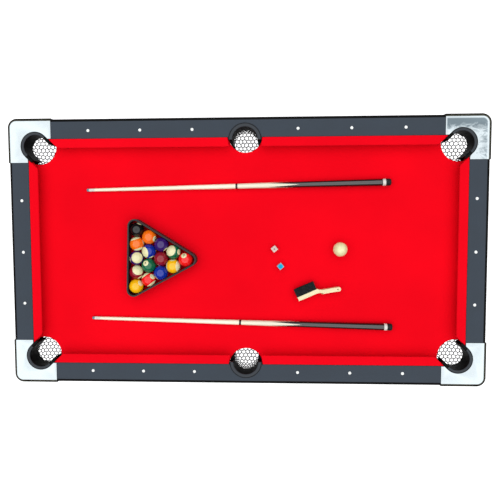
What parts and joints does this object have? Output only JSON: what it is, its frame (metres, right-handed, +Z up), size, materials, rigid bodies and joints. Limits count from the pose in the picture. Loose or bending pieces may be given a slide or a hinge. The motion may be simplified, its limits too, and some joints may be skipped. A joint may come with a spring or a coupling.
{
  "type": "folding pool table",
  "caption": "Small home pool table with cloth bed, cushions, netted pockets, bright corner caps, folding steel legs and a playing set laid on the bed.",
  "frame": {"origin": "on the floor under the middle of the table", "axes": "+X along the table to the head end, +Y across it to the back, +Z up"},
  "size_m": [1.9, 1.069, 0.8149],
  "materials": {
    "red_cloth": "napped",
    "rail_laminate": "satin laminate",
    "black_board": "satin",
    "bright_cap": "polished",
    "pocket_liner": "satin",
    "net_cord": "knotted cord",
    "black_steel": "powder coat",
    "foot_rubber": "matte",
    "maple": "lacquered",
    "stained_butt": "lacquered",
    "triangle_plastic": "satin",
    "ball_resin": "polished",
    "chalk_white": "chalky",
    "chalk_blue": "chalky",
    "brush_wood": "bare"
  },
  "bodies": {
    "table": {"bed_board": "black_board", "bed_cloth": "red_cloth", "rail_back": "rail_laminate", "apron_back": "black_board", "rail_foot": "rail_laminate", "apron_foot": "black_board", "rail_front": "rail_laminate", "apron_front": "black_board", "rail_head": "rail_laminate", "apron_head": "black_board", "cushion_back_head": "red_cloth", "cushion_back_foot": "red_cloth", "cushion_front_foot": "red_cloth", "cushion_front_head": "red_cloth", "cushion_foot": "red_cloth", "cushion_head": "red_cloth", "corner_cap_head_back": "bright_cap", "pocket_liner_head_back": "pocket_liner", "pocket_net_head_back": "net_cord", "corner_cap_foot_back": "bright_cap", "pocket_liner_foot_back": "pocket_liner", "pocket_net_foot_back": "net_cord", "corner_cap_foot_front": "bright_cap", "pocket_liner_foot_front": "pocket_liner", "pocket_net_foot_front": "net_cord", "corner_cap_head_front": "bright_cap", "pocket_liner_head_front": "pocket_liner", "pocket_net_head_front": "net_cord", "pocket_liner_side_back": "pocket_liner", "pocket_net_side_back": "net_cord", "pocket_liner_side_front": "pocket_liner", "pocket_net_side_front": "net_cord", "cross_beam_head": "black_board", "brace_anchor_head": "black_steel", "leg_bracket_head_back": "black_steel", "leg_bracket_head_front": "black_steel", "cross_beam_foot": "black_board", "brace_anchor_foot": "black_steel", "leg_bracket_foot_back": "black_steel", "leg_bracket_foot_front": "black_steel"},
    "leg_frame_head": {"leg_frame_head": "black_steel"},
    "brace_upper_head": {"brace_upper_head": "black_steel"},
    "brace_lower_head": {"brace_lower_head": "black_steel"},
    "leveler_head_back": {"leveler_head_back": "foot_rubber"},
    "leveler_head_front": {"leveler_head_front": "foot_rubber"},
    "leg_frame_foot": {"leg_frame_foot": "black_steel"},
    "brace_upper_foot": {"brace_upper_foot": "black_steel"},
    "brace_lower_foot": {"brace_lower_foot": "black_steel"},
    "leveler_foot_back": {"leveler_foot_back": "foot_rubber"},
    "leveler_foot_front": {"leveler_foot_front": "foot_rubber"},
    "cue_1": {"cue_butt_1": "stained_butt"},
    "cue_1_shaft": {"cue_shaft_1": "maple"},
    "cue_2": {"cue_butt_2": "stained_butt"},
    "cue_2_shaft": {"cue_shaft_2": "maple"},
    "triangle": {"triangle": "triangle_plastic"},
    "object_balls": {"object_balls": "ball_resin"},
    "cue_ball": {"cue_ball": "ball_resin"},
    "chalk_white": {"chalk_white": "chalk_white"},
    "chalk_blue": {"chalk_blue": "chalk_blue"},
    "brush": {"brush": "brush_wood"}
  },
  "joints": [
    {"name": "leg_fold_head", "type": "hinge", "parent": "table", "child": "leg_frame_head", "pos_m": [0.725, 0, 0.65], "axis": [0, 1, 0], "range_deg": [0, 90]},
    {"name": "brace_top_head", "type": "hinge", "parent": "table", "child": "brace_upper_head", "pos_m": [0.485, 0.4234, 0.65], "axis": [0, 1, 0], "range_deg": [-45, 0]},
    {"name": "brace_knee_head", "type": "hinge", "parent": "brace_upper_head", "child": "brace_lower_head", "pos_m": [0.605, 0.4277, 0.53], "axis": [0, 1, 0], "range_deg": [0, 180]},
    {"name": "leveler_screw_head_back", "type": "slide", "parent": "leg_frame_head", "child": "leveler_head_back", "axis": [0, 0, -1], "range_m": [0, 0.012]},
    {"name": "leveler_screw_head_front", "type": "slide", "parent": "leg_frame_head", "child": "leveler_head_front", "axis": [0, 0, -1], "range_m": [0, 0.012]},
    {"name": "leg_fold_foot", "type": "hinge", "parent": "table", "child": "leg_frame_foot", "pos_m": [-0.725, 0, 0.65], "axis": [0, -1, 0], "range_deg": [0, 90]},
    {"name": "brace_top_foot", "type": "hinge", "parent": "table", "child": "brace_upper_foot", "pos_m": [-0.485, -0.4234, 0.65], "axis": [0, -1, 0], "range_deg": [-45, 0]},
    {"name": "brace_knee_foot", "type": "hinge", "parent": "brace_upper_foot", "child": "brace_lower_foot", "pos_m": [-0.605, -0.4277, 0.53], "axis": [0, -1, 0], "range_deg": [0, 180]},
    {"name": "leveler_screw_foot_back", "type": "slide", "parent": "leg_frame_foot", "child": "leveler_foot_back", "axis": [0, 0, -1], "range_m": [0, 0.012]},
    {"name": "leveler_screw_foot_front", "type": "slide", "parent": "leg_frame_foot", "child": "leveler_foot_front", "axis": [0, 0, -1], "range_m": [0, 0.012]},
    {"name": "cue_1_lift", "type": "slide", "parent": "table", "child": "cue_1", "axis": [0, 0, 1], "range_m": [0, 0.15]},
    {"name": "cue_1_joint", "type": "slide", "parent": "cue_1", "child": "cue_1_shaft", "axis": [-0.9998, -0.0204, -0.0064], "range_m": [0, 0.03]},
    {"name": "cue_2_lift", "type": "slide", "parent": "table", "child": "cue_2", "axis": [0, 0, 1], "range_m": [0, 0.15]},
    {"name": "cue_2_joint", "type": "slide", "parent": "cue_2", "child": "cue_2_shaft", "axis": [-0.9997, 0.0246, -0.0064], "range_m": [0, 0.03]},
    {"name": "triangle_lift", "type": "slide", "parent": "table", "child": "triangle", "axis": [0, 0, 1], "range_m": [0, 0.15]},
    {"name": "object_balls_lift", "type": "slide", "parent": "table", "child": "object_balls", "axis": [0, 0, 1], "range_m": [0, 0.15]},
    {"name": "cue_ball_lift", "type": "slide", "parent": "table", "child": "cue_ball", "axis": [0, 0, 1], "range_m": [0, 0.15]},
    {"name": "chalk_white_lift", "type": "slide", "parent": "table", "child": "chalk_white", "axis": [0, 0, 1], "range_m": [0, 0.15]},
    {"name": "chalk_blue_lift", "type": "slide", "parent": "table", "child": "chalk_blue", "axis": [0, 0, 1], "range_m": [0, 0.15]},
    {"name": "brush_lift", "type": "slide", "parent": "table", "child": "brush", "axis": [0, 0, 1], "range_m": [0, 0.15]}
  ],
  "couplings": [
    {"joint": "brace_top_head", "follows": "leg_fold_head", "ratio": -0.5},
    {"joint": "brace_knee_head", "follows": "leg_fold_head", "ratio": 2},
    {"joint": "brace_top_foot", "follows": "leg_fold_foot", "ratio": -0.5},
    {"joint": "brace_knee_foot", "follows": "leg_fold_foot", "ratio": 2}
  ]
}
